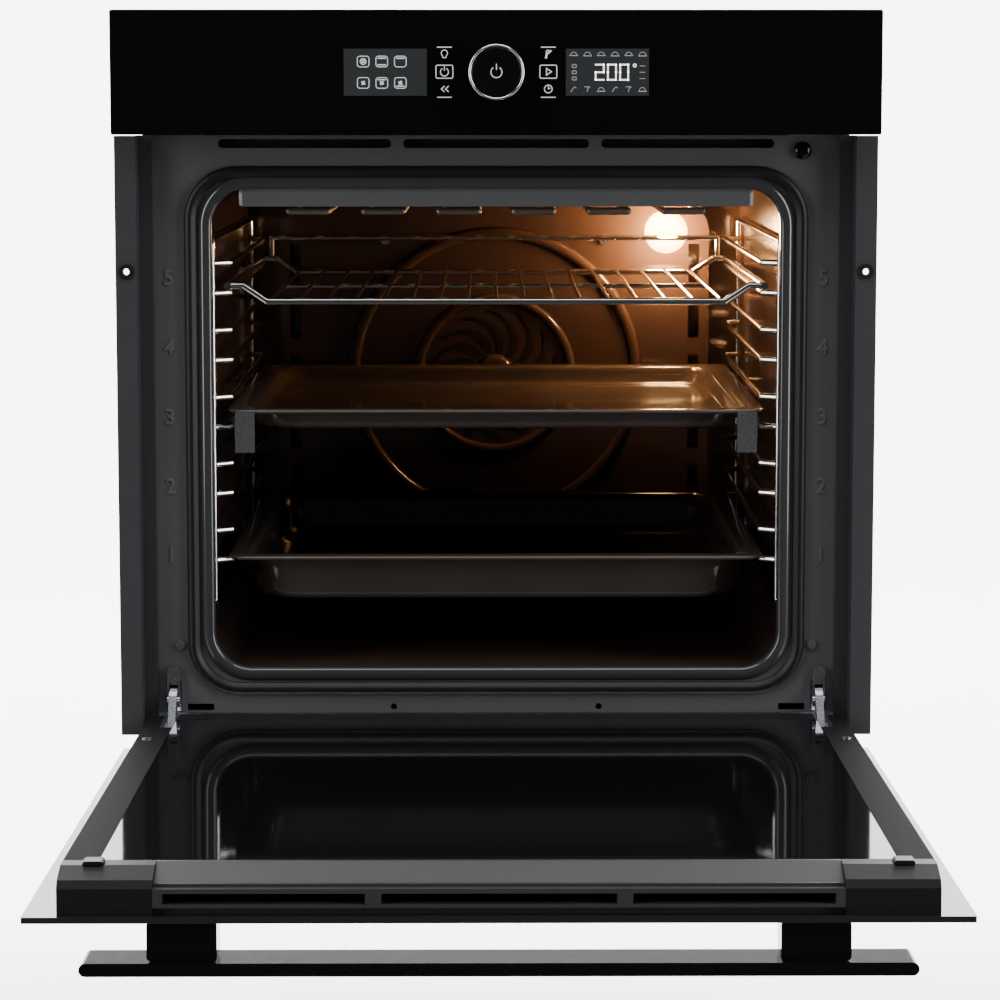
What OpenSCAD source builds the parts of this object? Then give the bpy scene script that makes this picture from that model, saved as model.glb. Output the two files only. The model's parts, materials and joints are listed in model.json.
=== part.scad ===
// Built-in wall oven with a drop-down door, modelled with its door standing open.
// Millimetres. +Z up, the front looks towards -Y, +X is on the right seen from the front.
// x = 0 is the middle, y = 0 the face of the kitchen cabinet, z = 0 the shelf that it stands on.

/* [Front] */
// Width of the control panel, the trims and the door glass
front_w = 595; // [594:1:597]
// Height of the control panel
panel_h = 96; // [94:1:98]
// Top edge of the control panel above the shelf
front_top = 598; // [597:1:599]
// Length of the door, from its bottom edge to its top edge
door_len = 488; // [484:1:490]
// Gap between the control panel and the closed door
door_gap = 3; // [2.5:0.5:4]
// How far the glass of the panel and the door stands in front of the cabinet
glass_front = 20; // [20:0.5:21]

/* [Body] */
// Width of the steel casing that goes into the cabinet
body_w = 556; // [554:1:558]
// Height of the steel casing
body_h = 590; // [589:1:591]
// Depth of the casing behind the cabinet face
body_d = 545; // [540:5:560]

/* [Cavity] */
// Inside width of the cavity
cavity_w = 460; // [458:1:461]
// Inside height of the cavity
cavity_h = 398; // [397:1:399]
// Height of the cavity floor
cavity_floor = 72; // [71:0.5:73]
// Depth of the cavity, from the front frame to its back wall
cavity_d = 420; // [418:1:424]
// Height of the lowest shelf level
level_first = 160; // [158:1:162]
// Distance between shelf levels
level_pitch = 53.75; // [53:0.25:54]

/* [Door] */
// Angle that the door stands open
door_open = 88.5; // [86:0.5:89]
// Length of the handle bar
handle_len = 524; // [500:4:532]
// How far the handle stands out from the door glass
handle_out = 34; // [32:1:38]

/* [Trays] */
// Width of the tray rims
tray_w = 432; // [430:1:433]
// Depth of the trays, front to back
tray_d = 365; // [355:1:368]

/* [Hidden] */
$fn = 48;

// Small overlap that makes a cut run past a face
cut = 1;
// Sheet thicknesses: casing, cavity and trim
case_t = 1;
cavity_t = 1;
trim_t = 1.2;

half_w = front_w / 2;
half_body = body_w / 2;
panel_z = front_top - panel_h;
knob_z = panel_z + panel_h / 2;
glass_t = 4;
glass_y = -glass_front;
glass_back = glass_y + glass_t;

// Front frame: the enamelled face that the gasket sits on
frame_y = 18;
frame_t = 1.2;
frame_back = frame_y + frame_t;
frame_z0 = 39.6;
frame_z1 = panel_z - 1;
open_w = 450;
open_z0 = 75.7;
open_z1 = 460;
valance_z = 445;

cavity_y1 = frame_back + cavity_d;
cavity_top = cavity_floor + cavity_h;
cavity_mid = cavity_floor + cavity_h / 2;
cavity_r = 20;

// Door, drawn closed and then turned about its hinge axis
door_z1 = panel_z - door_gap;
door_z0 = door_z1 - door_len;
door_in = 12;
hinge_y = -4;
hinge_z = door_z0 + 14;
profile_in = 253;
profile_out = 275.5;
profile_z0 = door_z0 + 9;
top_trim_z = door_z1 - 32;
rail_z1 = door_z0 + 23;
// Slots of the door's top trim: an opening in the middle and one at each side
slot_y0 = -9;
slot_y1 = -2;
slots_x = [[-210, -83.5], [-73.5, 73.5], [83.5, 210]];
handle_y = glass_y - handle_out;
handle_z = door_z1 - 16;
post_x = 198;
post_w = 44;
post_hole_r = 2.1;

// Control panel
display_x = 85.5;
display_w = 64;
display_h = 38;

// Holes of the two screws that hold the oven in its cabinet
fix_x = 289;
fix_z = 395;

// Hinge arms, cases and lock levers
arm_x = 257.75;
arm_w = 6;
pin_r = 3;
case_x0 = arm_x - 4.5;
lever_y = 12.2;
lever_z = 52;
lever_w = 10;
lever_pin_r = 1.5;

// Racks, runners and trays
rack_x = 226;
rail_x = 213;
wire_r = 2.5;
rack_y0 = 36;
rack_y1 = 398;
guard_rise = 24;
function level(n) = level_first + (n - 1) * level_pitch;
runner_z = level(3);
shelf_r = 3;
shelf_x = 214;
shelf_z = level(5) + wire_r + shelf_r + 0.3;
shelf_drop = 12.5;
slat_pitch = 22.4;
slat_n = 17;
tray_y0 = 30;
tray_z = level(3) + 13.5;
pan_z = level(1) + wire_r + 0.3;
baffle_y = cavity_y1 - 27;
baffle_t = 1;
// Its top stays below the grill element's tails, which run through the back wall above it
baffle_h = 331;
baffle_mid = cavity_mid - 4.5;

// Back of the cavity: fan in the middle, lamp in the upper right corner
fan_z = cavity_mid;
lamp_x = 160;
lamp_z = 404;
lamp_r = 16;
grille_n = 14;
element_z = cavity_top - 30;
element_front = 50;
element_back = 395;
insulation_y1 = cavity_y1 + 28;

// Colours
enamel = "#2b2c2e";
zinc = "#b9bcc0";
black = "#111214";
chrome = "#c8c8c8";

// ---------- helpers ----------

// Rectangle with round corners, centred
module rounded(w, h, r) {
    square([w - 2 * r, h], center = true);
    square([w, h - 2 * r], center = true);
    for (x = [-1, 1], y = [-1, 1])
        translate([x * (w / 2 - r), y * (h / 2 - r)]) circle(r = r);
}

// Extrudes a drawing made in x and z from y0 to y1
module along_y(y0, y1) {
    translate([0, y1, 0]) rotate([90, 0, 0]) linear_extrude(y1 - y0) children();
}

// Extrudes a drawing made in y and z from x0 to x1
module along_x(x0, x1) {
    translate([x0, 0, 0]) rotate([90, 0, 90]) linear_extrude(x1 - x0) children();
}

// Box from one corner to the other
module block(a, b) {
    translate(a) cube(b - a);
}

// Round bar or hole along y, from y0 to y1, at x and z
module bar_y(x, z, r, y0, y1) {
    translate([x, y1, z]) rotate([90, 0, 0]) cylinder(h = y1 - y0, r = r);
}

// Round bar or hole along x, from x0 to x1, at y and z
module bar_x(y, z, r, x0, x1) {
    translate([x0, y, z]) rotate([0, 90, 0]) cylinder(h = x1 - x0, r = r);
}

// Straight round bar between two points
module rod(a, b, r) {
    v = b - a;
    l = norm(v);
    translate(a) rotate([0, acos(v[2] / l), atan2(v[1], v[0])]) cylinder(h = l, r = r);
}

// Bent bar through a list of points, with a ball at each bend
module bent_bar(p, r) {
    for (i = [0:len(p) - 2])
        rod(p[i], p[i + 1], r);
    for (i = [1:1:len(p) - 2])
        translate(p[i]) sphere(r = r * 1.02);
}

// The same thing on the left and on the right
module both_sides() {
    children();
    mirror([1, 0, 0]) children();
}

// Turns what is drawn for the closed door to the open door
module opened() {
    translate([0, hinge_y, hinge_z])
        rotate([door_open, 0, 0])
            translate([0, -hinge_y, -hinge_z]) children();
}

// Pan-head screw along y with its head towards -y
module screw_y(x, y, z, head_r = 4, shank_r = 1.9, length = 8) {
    difference() {
        bar_y(x, z, head_r, y - 2.2, y);
        block([x - 2.4, y - 2.2 - cut, z - 0.5], [x + 2.4, y - 1.2, z + 0.5]);
        block([x - 0.5, y - 2.2 - cut, z - 2.4], [x + 0.5, y - 1.2, z + 2.4]);
    }
    bar_y(x, z, shank_r, y - 0.5, y + length);
}

// ---------- casing ----------

module base_panel() color("#8d9094") {
    block([-half_body + case_t, 30, 0], [half_body - case_t, body_d - case_t, case_t]);
    block([-half_body + case_t, 30, case_t], [half_body - case_t, 31, 38]);
}

module side_panels() color("#a3a6aa")
    both_sides() difference() {
        block([half_body - case_t, frame_back + 0.2, 0], [half_body, body_d - case_t, body_h]);
        for (i = [0:7])
            block([half_body - 2 * cut, 420 + i * 12, 520], [half_body + cut, 425 + i * 12, 560]);
    }

module top_cover() color("#a3a6aa")
    difference() {
        block([-half_body + case_t, 21, body_h - case_t], [half_body - case_t, body_d - case_t, body_h]);
        for (i = [-6:6])
            block([i * 16 - 3, 430, body_h - 2 * cut], [i * 16 + 3, 500, body_h + cut]);
    }

module back_panel() color("#a3a6aa")
    difference() {
        block([-half_body, body_d - case_t, 0], [half_body, body_d, body_h]);
        for (i = [-8:8])
            block([i * 14 - 3, body_d - 2 * cut, 520], [i * 14 + 3, body_d + cut, 555]);
        block([185, body_d - 2 * cut, 500], [245, body_d + cut, 540]);
    }

module front_frame() color(enamel)
    difference() {
        union() {
            along_y(frame_y, frame_back) difference() {
                translate([-281, frame_z0]) square([562, frame_z1 - frame_z0]);
                translate([0, (open_z0 + open_z1) / 2]) rounded(open_w, open_z1 - open_z0, 30);
            }
            block([-200, frame_back, valance_z], [200, frame_back + 1, open_z1 + 3]);
            block([-270, frame_back, frame_z0], [270, 29, frame_z0 + 1]);
        }
        for (x = [-150.5, 0, 150.5])
            vent_slot(x, abs(x) > 1 ? 136 : 146);
        both_sides() {
            block([arm_x - 6, frame_y - cut, 40.6], [arm_x + 6, frame_back + cut, 66]);
            block([226, frame_y - cut, 41.6], [247, frame_back + cut, 47]);
            bar_y(82, 44.5, 2.5, frame_y - cut, frame_back + cut);
            bar_y(252, 95, 2, frame_y - cut, frame_back + cut);
        }
        bar_y(241, 489, 7, frame_y - cut, frame_back + cut);
    }

// Slot with round ends for the cooling air
module vent_slot(x, w)
    along_y(frame_y - cut, frame_back + cut) translate([x, 494.5]) rounded(w, 7, 3.4);

module side_trims() color("#303134")
    both_sides() difference() {
        translate([0, 0, 26.5]) linear_extrude(frame_z1 - 26.5) polygon([
            [280.8, -3], [half_w, -3], [half_w, 0], [half_w - trim_t, 0],
            [half_w - trim_t, -3 + trim_t], [282, -3 + trim_t], [282, 15.2],
            [271.2, 15.2], [271.2, frame_y], [270, frame_y], [270, 14], [280.8, 14]
        ]);
        bar_y(fix_x, fix_z, 4.05, -3 - cut, cut);
    }

module trim_bushes() color("#1c1c1e")
    both_sides() difference() {
        union() {
            bar_y(fix_x, fix_z, 6, -4.2, -3);
            bar_y(fix_x, fix_z, 4, -3, 0);
        }
        bar_y(fix_x, fix_z, 2.5, -5, 1);
    }

module cavity() color("#3a2a20")
    difference() {
        along_y(frame_back, cavity_y1 + cavity_t) translate([0, cavity_mid])
            rounded(cavity_w + 2 * cavity_t, cavity_h + 2 * cavity_t, cavity_r + cavity_t);
        along_y(frame_back - cut, cavity_y1) translate([0, cavity_mid])
            rounded(cavity_w, cavity_h, cavity_r);
        bar_y(0, fan_z, 8, cavity_y1 - cut, cavity_y1 + 2 * cut);
        bar_y(lamp_x, lamp_z, lamp_r + 0.2, cavity_y1 - cut, cavity_y1 + 2 * cut);
        for (x = [-16, 16]) {
            bar_y(x, element_z, 3.6, cavity_y1 - cut, cavity_y1 + 2 * cut);
            bar_y(x, fan_z - 92, 3.6, cavity_y1 - cut, cavity_y1 + 2 * cut);
        }
        bar_y(-200, element_z, 3.1, cavity_y1 - cut, cavity_y1 + 2 * cut);
    }

module insulation() color("#d8cf9a")
    difference() {
        block([-258, 66, 44], [258, insulation_y1, 496]);
        along_y(60, cavity_y1 + cavity_t + 0.5) translate([0, cavity_mid])
            rounded(cavity_w + 3, cavity_h + 3, cavity_r + 1.5);
        block([-190, 60, 55], [190, cavity_y1, 71.5]);
        bar_y(0, fan_z, 34, cavity_y1, insulation_y1 + cut);
        bar_y(lamp_x, lamp_z, lamp_r + 6, cavity_y1, insulation_y1 + cut);
        for (x = [-16, 16]) {
            bar_y(x, element_z, 5, cavity_y1, insulation_y1 + cut);
            bar_y(x, fan_z - 92, 5, cavity_y1, insulation_y1 + cut);
        }
        bar_y(-200, cavity_top - 30, 6, cavity_y1, insulation_y1 + cut);
    }

module gasket() color("#161616")
    along_y(12.4, frame_y) difference() {
        translate([0, 266]) rounded(492, 422, 40);
        translate([0, 267]) rounded(472, 404, 32);
    }

// Slot of the pinwheel grille: it bends more the further out it goes
module curved_slot() {
    path = [for (i = [0:6]) let (t = i / 6, r = 22 + 37 * t, a = 43 * t * t) [r, a]];
    polygon(concat(
        [for (p = path) [p[0] * cos(p[1]) + 1.6 * sin(p[1]), p[0] * sin(p[1]) - 1.6 * cos(p[1])]],
        [for (i = [6:-1:0]) let (p = path[i])
            [p[0] * cos(p[1]) - 1.6 * sin(p[1]), p[0] * sin(p[1]) + 1.6 * cos(p[1])]]
    ));
}

module fan_baffle() color("#33241c")
    difference() {
        along_y(baffle_y, cavity_y1) translate([0, baffle_mid]) rounded(400, baffle_h, 28);
        along_y(baffle_y + baffle_t, cavity_y1 + cut) translate([0, baffle_mid])
            rounded(400 - 2 * baffle_t, baffle_h - 2 * baffle_t, 27);
        bar_y(0, fan_z, 12, baffle_y - cut, baffle_y + 2 * cut);
        for (i = [0:grille_n - 1])
            translate([0, 0, fan_z]) rotate([0, i * 360 / grille_n, 0])
                along_y(baffle_y - cut, baffle_y + 2 * cut) curved_slot();
        for (x = [-186, 186], i = [-2:2])
            block([x - 5, baffle_y - cut, fan_z + i * 52 - 18],
                  [x + 5, baffle_y + 2 * cut, fan_z + i * 52 + 18]);
        bar_y(lamp_x, lamp_z, lamp_r + 4.5, baffle_y - cut, cavity_y1 + cut);
        for (x = [-102, 102], z = [-126, 126])
            bar_y(x, fan_z + z, 2.2, baffle_y - cut, baffle_y + 2 * cut);
    }

module cavity_screws() color(zinc) {
    for (x = [-102, 102], z = [-126, 126])
        screw_y(x, baffle_y, fan_z + z, 4.5, 1.9, 6);
    both_sides() screw_y(252, frame_y, 95, 3.6, 1.8, 8);
}

// ---------- heaters, fan and lamp ----------

module ring_element() color("#6d6a64") {
    translate([0, cavity_y1 - 12, fan_z]) rotate([90, 0, 0])
        rotate_extrude() translate([90, 0]) circle(r = 3.2);
    for (x = [-16, 16])
        bar_y(x, fan_z - 92, 3.1, cavity_y1 - 12, insulation_y1 + 6);
}

module convection_motor() color("#7d7f82")
    difference() {
        union() {
            bar_y(0, fan_z, 30, cavity_y1 + 12, cavity_y1 + 62);
            bar_y(0, fan_z, 7.8, cavity_y1 - 1, cavity_y1 + 12);
            block([-55, insulation_y1, fan_z - 12], [55, insulation_y1 + 2, fan_z + 12]);
        }
        bar_y(0, fan_z, 3.05, cavity_y1 - 3, cavity_y1 + 40);
    }

module convection_fan() color("#9fa1a3") {
    bar_y(0, fan_z, 3, cavity_y1 - 22, cavity_y1 + 39);
    bar_y(0, fan_z, 9, cavity_y1 - 21, cavity_y1 - 12);
    bar_y(0, fan_z, 60, cavity_y1 - 5.4, cavity_y1 - 4.2);
    for (i = [0:11])
        translate([0, cavity_y1 - 5.4, fan_z]) rotate([0, i * 30, 0])
            block([34, -13, -0.6], [60, 0.2, 0.6]);
    bar_y(0, fan_z, 9, cavity_y1 - 12.2, cavity_y1 - 4.5);
}

// Where a run of the grill element starts and ends: it goes forward, then back, twelve times
function element_run(i) =
    let (x = -165 + 30 * i, back = i == 0 || i == 11 ? element_back : element_back - 25)
    i % 2 == 0
        ? [[x, back, element_z], [x, element_front, element_z]]
        : [[x, element_front, element_z], [x, back, element_z]];

module grill_element() color("#5d5a55")
    bent_bar(concat(
        [[-16, insulation_y1 + 6, element_z], [-16, element_back, element_z]],
        [for (i = [0:11]) each element_run(i)],
        [[16, element_back, element_z], [16, insulation_y1 + 6, element_z]]
    ), 3.1, $fn = 24);

module bottom_element() color("#5d5a55") {
    z = cavity_floor - cavity_t - 6;
    bent_bar([[-40, 420, z], [-150, 420, z], [-150, 90, z], [150, 90, z], [150, 420, z], [40, 420, z],
              [40, 200, z], [-40, 200, z], [-40, 400, z]], 3.2);
}

module lamp_holder() color("#e8e4da")
    difference() {
        union() {
            bar_y(lamp_x, lamp_z, lamp_r, cavity_y1 - 4, cavity_y1 + 40);
            bar_y(lamp_x, lamp_z, lamp_r + 3, cavity_y1 - 8, cavity_y1 - 0.01);
        }
        bar_y(lamp_x, lamp_z, lamp_r - 3, cavity_y1 - 9, cavity_y1 + 34);
    }

module lamp_bulb() color("#ffe9b8") {
    bar_y(lamp_x, lamp_z, 6, cavity_y1 + 14, cavity_y1 + 33.9);
    translate([lamp_x, cavity_y1 + 8, lamp_z]) sphere(r = 10);
}

module lamp_cover() color("#fff2d0")
    difference() {
        bar_y(lamp_x, lamp_z, lamp_r + 4, cavity_y1 - 24, cavity_y1 - 8.01);
        bar_y(lamp_x, lamp_z, lamp_r + 1.4, cavity_y1 - 21.4, cavity_y1 - 7);
    }

module temperature_probe() color(zinc)
    bar_y(-200, cavity_top - 30, 3, cavity_y1 - 60, insulation_y1 + 4);

// ---------- racks, runners and trays ----------

module rack_wires(s) {
    post_z0 = level(1) - 34;
    post_z1 = level(5) + guard_rise + 18;
    for (y = [rack_y0, rack_y1 - 4])
        rod([s * rack_x, y, post_z0], [s * rack_x, y, post_z1], wire_r);
    for (z = [post_z0, post_z1])
        rod([s * rack_x, rack_y0 - 6, z], [s * rack_x, rack_y1, z], wire_r * 1.1);
    for (n = [1:5], up = [0, guard_rise])
        bent_bar([
            [s * rack_x, rack_y0 + 1, level(n) + up], [s * rail_x, rack_y0 + 9, level(n) + up],
            [s * rail_x, rack_y1 - 13, level(n) + up], [s * rack_x, rack_y1 - 5, level(n) + up]
        ], wire_r);
    for (y = [rack_y0 + 30, rack_y1 - 40])
        rod([s * rack_x, y, post_z0], [s * 229.9, y, post_z0], 3.6);
}

module side_rack_left() color(chrome) rack_wires(-1);

module side_rack_right() color(chrome) rack_wires(1);

module runner_rails() color(zinc)
    both_sides() {
        block([208, 40, runner_z - 7], [209.6, 392, runner_z + 9]);
        block([205.4, 40, runner_z + 8], [209.6, 392, runner_z + 9]);
        block([205.4, 40, runner_z - 8], [209.6, 392, runner_z - 7]);
        for (y = [60, 370])
            block([209.6, y, runner_z + 3], [214, y + 10, runner_z + 4.2]);
    }

module runner_middles() color("#c9ccd0")
    both_sides() {
        block([206.2, 40, runner_z - 6], [207.7, 390, runner_z + 7]);
        block([204.2, 40, runner_z + 6], [206.2, 390, runner_z + 7]);
        block([204.2, 40, runner_z - 6], [206.2, 390, runner_z - 5]);
    }

module runner_inners() color("#d4d6d9")
    both_sides() {
        block([201.8, 38, runner_z - 4.6], [204, 390, runner_z + 12.8]);
        block([192.4, 26.5, runner_z - 19], [208, 28, runner_z + 13]);
        block([200.5, 28, runner_z - 4.6], [203.8, 38.5, runner_z + 10]);
    }

// Pressed tray: a well with a flat rim around it
module pressed_tray(rim_z, depth, well_w, front_y) {
    cy = front_y + tray_d / 2;
    well_d = tray_d - 36;
    t = 0.9;
    difference() {
        union() {
            translate([0, cy, rim_z]) linear_extrude(1.4) rounded(tray_w, tray_d, 14);
            translate([0, cy, rim_z - depth]) linear_extrude(depth + 0.5) rounded(well_w, well_d, 26);
        }
        translate([0, cy, rim_z - depth + t]) linear_extrude(depth + cut + 1)
            rounded(well_w - 2 * t, well_d - 2 * t, 26 - t);
    }
}

module baking_tray() color("#4a3a2e") pressed_tray(tray_z, 17, 392, tray_y0);

module deep_pan() color("#3c332c") pressed_tray(pan_z, 38, 386, tray_y0);

module wire_shelf() color(chrome) {
    $fn = 24;
    z0 = shelf_z - shelf_drop;
    y0 = 42;
    y1 = 390;
    xs = slat_pitch * (slat_n - 1) / 2 + 4;
    cross_r = shelf_r - 0.2;
    both_sides() rod([shelf_x, y0 - 4, shelf_z], [shelf_x, y1 + 5, shelf_z], shelf_r);
    for (y = [y0, y1])
        bent_bar([[-shelf_x, y, shelf_z], [-202, y, shelf_z], [-xs, y, z0], [xs, y, z0],
                  [202, y, shelf_z], [shelf_x, y, shelf_z]], cross_r);
    bent_bar([[-206, y1 + 1, shelf_z], [-206, y1 + 1, shelf_z + 19],
              [206, y1 + 1, shelf_z + 19], [206, y1 + 1, shelf_z]], cross_r - 0.3);
    for (i = [0:slat_n - 1])
        rod([(i - (slat_n - 1) / 2) * slat_pitch, y0, z0 + 1.6],
            [(i - (slat_n - 1) / 2) * slat_pitch, y1, z0 + 1.6], 1.6);
    rod([-xs - 1, 216, z0 - 0.5], [xs + 1, 216, z0 - 0.5], 2);
}

// ---------- control panel ----------

module control_glass() color(black)
    difference() {
        along_y(glass_y, glass_back) translate([0, knob_z]) rounded(front_w, panel_h, 1.5);
        bar_y(0, knob_z, 9, glass_y - cut, glass_back + cut);
    }

module panel_carrier() color("#222326")
    difference() {
        union() {
            block([-293, glass_back, panel_z + 1], [293, glass_back + 2, front_top - 2]);
            block([-276, glass_back + 2, panel_z + 1], [276, 20.5, body_h - 2]);
        }
        block([-274, glass_back + 2, panel_z + 3], [274, 21.5, body_h - 4]);
        for (s = [-1, 1])
            block([s * display_x - display_w / 2 - 0.5, glass_back - cut, knob_z - display_h / 2 - 0.5],
                  [s * display_x + display_w / 2 + 0.5, glass_back + 3, knob_z + display_h / 2 + 0.5]);
        bar_y(0, knob_z, 10, glass_back - cut, glass_back + 3);
    }

module displays() color("#30343a")
    for (s = [-1, 1])
        block([s * display_x - display_w / 2, glass_back + 0.2, knob_z - display_h / 2],
              [s * display_x + display_w / 2, -6.2, knob_z + display_h / 2]);

module control_board() color("#2f6b45")
    difference() {
        union() {
            block([-240, -6, 512], [240, -4.4, 584]);
            block([120, -4.4, 520], [170, 12, 560]);
            block([-180, -4.4, 525], [-140, 16, 565]);
            for (x = [-110:24:-40])
                bar_y(x, 575, 5, -4.4, 10);
        }
        bar_y(0, knob_z, 5, -8, -3);
    }

module encoder() color("#6f7276")
    difference() {
        block([-8, -4.3, knob_z - 8], [8, 6, knob_z + 8]);
        bar_y(0, knob_z, 3.05, -5, 3.2);
    }

module encoder_shaft() color(zinc) bar_y(0, knob_z, 3, -31, 3);

module knob() color(black)
    difference() {
        union() {
            bar_y(0, knob_z, 19.2, -37, -24);
            bar_y(0, knob_z, 6.5, -24.2, -14);
        }
        bar_y(0, knob_z, 3.05, -34, -13);
    }

module knob_ring() color("#d8d8da")
    difference() {
        bar_y(0, knob_z, 21.5, -36.4, -25);
        bar_y(0, knob_z, 19.25, -38, -24);
    }

module air_duct() color("#8d9094") difference() {
    along_x(-230, 230) polygon([
        [20, 487], [30, 487], [30, 500], [60, 508], [420, 508], [420, 570], [60, 570], [20, 500.5]
    ]);
    along_x(-228.8, 228.8) polygon([
        [19, 488], [29, 488], [29, 501], [59, 509.2], [418.8, 509.2], [418.8, 568.8], [61, 568.8],
        [22, 501], [19, 499.5]
    ]);
    translate([0, 330, 500]) cylinder(h = 12, r = 46);
    translate([0, 330, 560]) cylinder(h = 12, r = 10);
}

module cooling_motor() color("#7d7f82") difference() {
    translate([0, 330, 570.2]) cylinder(h = 17, r = 34);
    translate([0, 330, 569]) cylinder(h = 14, r = 3.05);
}

module cooling_wheel() color("#2a2b2d") {
    translate([0, 330, 520]) cylinder(h = 62, r = 3);
    difference() {
        translate([0, 330, 560]) cylinder(h = 1.6, r = 70);
        translate([0, 330, 559]) cylinder(h = 4, r = 2.5);
    }
    for (i = [0:23])
        translate([0, 330, 522]) rotate([0, 0, i * 15]) block([54, -0.6, 0], [70, 0.6, 38.4]);
    difference() {
        translate([0, 330, 520.6]) cylinder(h = 1.6, r = 70);
        translate([0, 330, 519]) cylinder(h = 4, r = 52);
    }
}

module terminal_block() color("#dedbd2")
    difference() {
        block([188, body_d - 28, 503], [242, body_d - 1.2, 537]);
        for (i = [0:2])
            bar_y(200 + i * 15, 520, 4, body_d - 20, body_d);
    }

// ---------- hinges and door switch ----------

module hinge_receivers() color(zinc)
    both_sides() difference() {
        block([arm_x - 5.5, frame_back, 41], [arm_x + 5.5, 62, 65]);
        block([arm_x - 4, frame_back - cut, 44], [arm_x + 4, 60, 62]);
    }

module hinge_arms() color(zinc)
    both_sides() difference() {
        along_x(arm_x - arm_w / 2, arm_x + arm_w / 2) {
            translate([hinge_y, hinge_z]) circle(r = 6.5);
            polygon([[hinge_y - 6, hinge_z + 2], [hinge_y + 4, hinge_z - 5], [13, 44.5],
                     [59.5, 44.5], [59.5, 60], [14, 60], [7, 56]]);
        }
        bar_x(hinge_y, hinge_z, pin_r + 0.05, arm_x - 10, arm_x + 10);
        bar_x(lever_y, lever_z, lever_pin_r + 0.05, arm_x - 10, arm_x + 10);
    }

// Saddle that locks the hinge arm when it is swung forward
module lock_lever() {
    bar_x(lever_y, lever_z, lever_pin_r, arm_x - lever_w / 2, arm_x + lever_w / 2);
    for (x = [arm_x - lever_w / 2, arm_x + lever_w / 2 - 1.6])
        block([x, 12.6, 48.6], [x + 1.6, 15, 68]);
    difference() {
        along_y(13.4, 15) translate([arm_x, 68]) rounded(lever_w, 20, 4.9);
        block([arm_x - lever_w, 12, 50], [arm_x + lever_w, 17, 66]);
    }
}

module lock_lever_left() color("#c4c7cb") mirror([1, 0, 0]) lock_lever();

module lock_lever_right() color("#c4c7cb") lock_lever();

module switch_housing() color("#202022")
    difference() {
        union() {
            bar_y(241, 489, 6.8, frame_y, 34);
            block([230, frame_back + 0.1, 480.5], [252, 34, 499]);
        }
        bar_y(241, 489, 4.2, frame_y - cut, 30);
    }

module switch_plunger() color("#0c0c0d") {
    bar_y(241, 489, 4.1, 14, 25);
    difference() {
        translate([241, 22.6, 489]) sphere(r = 10);
        block([225, 15.4, 470], [257, 40, 505]);
    }
}

// ---------- door, drawn closed ----------

module door_outer_glass() color(black) opened()
    along_y(glass_y, glass_back) translate([0, (door_z0 + door_z1) / 2])
        rounded(front_w, door_len, 1.5);

module door_middle_glass() color("#5a6068") opened()
    block([-251, -4.5, rail_z1 + 1], [251, -1.3, top_trim_z - 2]);

module door_inner_glass() color("#3a3e44") opened()
    block([-252.5, 8, rail_z1 + 0.5], [252.5, door_in, top_trim_z - 0.5]);

module door_side_profiles() color("#141414") opened()
    both_sides() difference() {
        block([profile_in, glass_back, profile_z0], [profile_out, door_in, top_trim_z - 0.3]);
        block([profile_in - cut, glass_back + 1.5, profile_z0 - cut],
              [profile_out - 1.5, door_in - 1.5, top_trim_z + cut]);
        block([profile_in - cut, door_in - 5, profile_z0 - cut], [arm_x + 6, door_in + cut, 64]);
        translate([arm_x + 9, door_in - 3, 110]) rotate([-90, 0, 0]) cylinder(h = 5, r = 1.5);
    }

module door_bottom_rail() color("#1b1b1c") opened()
    difference() {
        block([-252.6, glass_back, door_z0 + 3], [252.6, door_in, rail_z1]);
        block([-253, glass_back + 1.5, door_z0 + 4.5], [253, door_in - 1.5, rail_z1 + cut]);
    }

module door_top_trim() color("#161617") opened()
    difference() {
        along_x(-215.8, 215.8) polygon([
            [glass_back, top_trim_z], [door_in, top_trim_z], [door_in, top_trim_z + 3],
            [3, door_z1 - 11], [3, door_z1 - 8], [1, door_z1 - 8], [1, door_z1 - 3],
            [-11, door_z1 - 3], [-11, door_z1 - 8], [glass_back, door_z1 - 8]
        ]);
        block([-217, -14, top_trim_z - cut], [217, 0, door_z1 - 12]);
        for (slot = slots_x)
            block([slot[0], slot_y0, door_z1 - 13], [slot[1], slot_y1, door_z1]);
    }

module door_corner_caps() color("#1d1d1f") opened()
    both_sides() {
        along_x(216, profile_out) polygon([
            [glass_back, top_trim_z], [door_in, top_trim_z], [door_in, top_trim_z + 12],
            [6, door_z1 - 6], [1, door_z1 - 3], [glass_back, door_z1 - 3]
        ]);
    }

module handle_bar() color("#0e0e10") opened()
    difference() {
        translate([0, 0, door_z1 - 31]) linear_extrude(30) {
            translate([0, handle_y + 4.25]) rounded(handle_len, 8.5, 4.2);
        }
        both_sides() bar_y(post_x, handle_z, post_hole_r, handle_y + 4, handle_y + 10);
    }

module handle_posts() color("#0e0e10") opened()
    both_sides() difference() {
        translate([0, 0, door_z1 - 27])
            linear_extrude(22) translate([post_x, (handle_y + 8.5 + glass_y) / 2])
                rounded(post_w, glass_y - handle_y - 8.5, 3);
        bar_y(post_x, handle_z, post_hole_r, handle_y + 8, glass_y + cut);
    }

module door_screws() color("#8f9296") opened() {
    both_sides() {
        translate([arm_x + 9, door_in, 110]) rotate([-90, 0, 0]) {
            cylinder(h = 1.6, r = 3.6);
            translate([0, 0, -6]) cylinder(h = 6.5, r = 1.4);
        }
    }
}

module hinge_cases() color("#a7aaae") opened()
    both_sides() difference() {
        block([case_x0, glass_back + 1.6, door_z0 + 5.5], [case_x0 + 9, 8.4, 240]);
        block([case_x0 + 1.2, glass_back + 2.8, door_z0 + 4], [case_x0 + 7.8, 12, 238.8]);
        bar_x(hinge_y, hinge_z, pin_r, case_x0 - cut, case_x0 + 10);
    }

module hinge_pins() color(zinc) opened()
    both_sides() bar_x(hinge_y, hinge_z, pin_r, case_x0, case_x0 + 9);

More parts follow.
